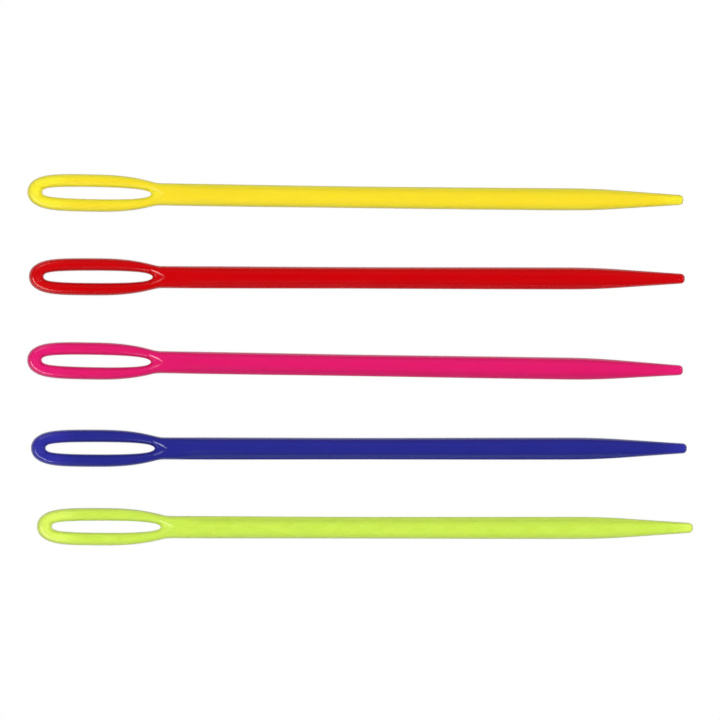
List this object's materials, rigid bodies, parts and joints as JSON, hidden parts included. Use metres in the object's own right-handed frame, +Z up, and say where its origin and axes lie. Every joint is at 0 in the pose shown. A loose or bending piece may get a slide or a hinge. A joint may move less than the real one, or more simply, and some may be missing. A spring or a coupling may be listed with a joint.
{
  "type": "yarn needle",
  "caption": "Set of loose blunt-tipped plastic yarn needles, each one moulding with a long oval eye, a V at the neck, a flat rounded shank and a tapered tip.",
  "frame": {"origin": "middle of the set's footprint, on the surface that the needles lie on", "axes": "+X along the needles from eye to tip, +Y across the row towards the yellow needle, +Z up"},
  "size_m": [0.0914, 0.0508, 0.0022],
  "materials": {
    "yellow_plastic": "glossy moulded yellow plastic",
    "red_plastic": "glossy moulded red plastic",
    "magenta_plastic": "glossy moulded magenta plastic",
    "blue_plastic": "glossy moulded blue plastic",
    "lime_plastic": "glossy moulded lime plastic"
  },
  "bodies": {
    "magenta": {"magenta_needle": "magenta_plastic"},
    "yellow": {"yellow_needle": "yellow_plastic"},
    "red": {"red_needle": "red_plastic"},
    "blue": {"blue_needle": "blue_plastic"},
    "lime": {"lime_needle": "lime_plastic"}
  },
  "joints": [
    {"name": "yellow_lift", "type": "slide", "parent": "magenta", "child": "yellow", "axis": [0, 0, 1], "range_m": [0, 0.03]},
    {"name": "red_lift", "type": "slide", "parent": "magenta", "child": "red", "axis": [0, 0, 1], "range_m": [0, 0.03]},
    {"name": "blue_lift", "type": "slide", "parent": "magenta", "child": "blue", "axis": [0, 0, 1], "range_m": [0, 0.03]},
    {"name": "lime_lift", "type": "slide", "parent": "magenta", "child": "lime", "axis": [0, 0, 1], "range_m": [0, 0.03]}
  ]
}
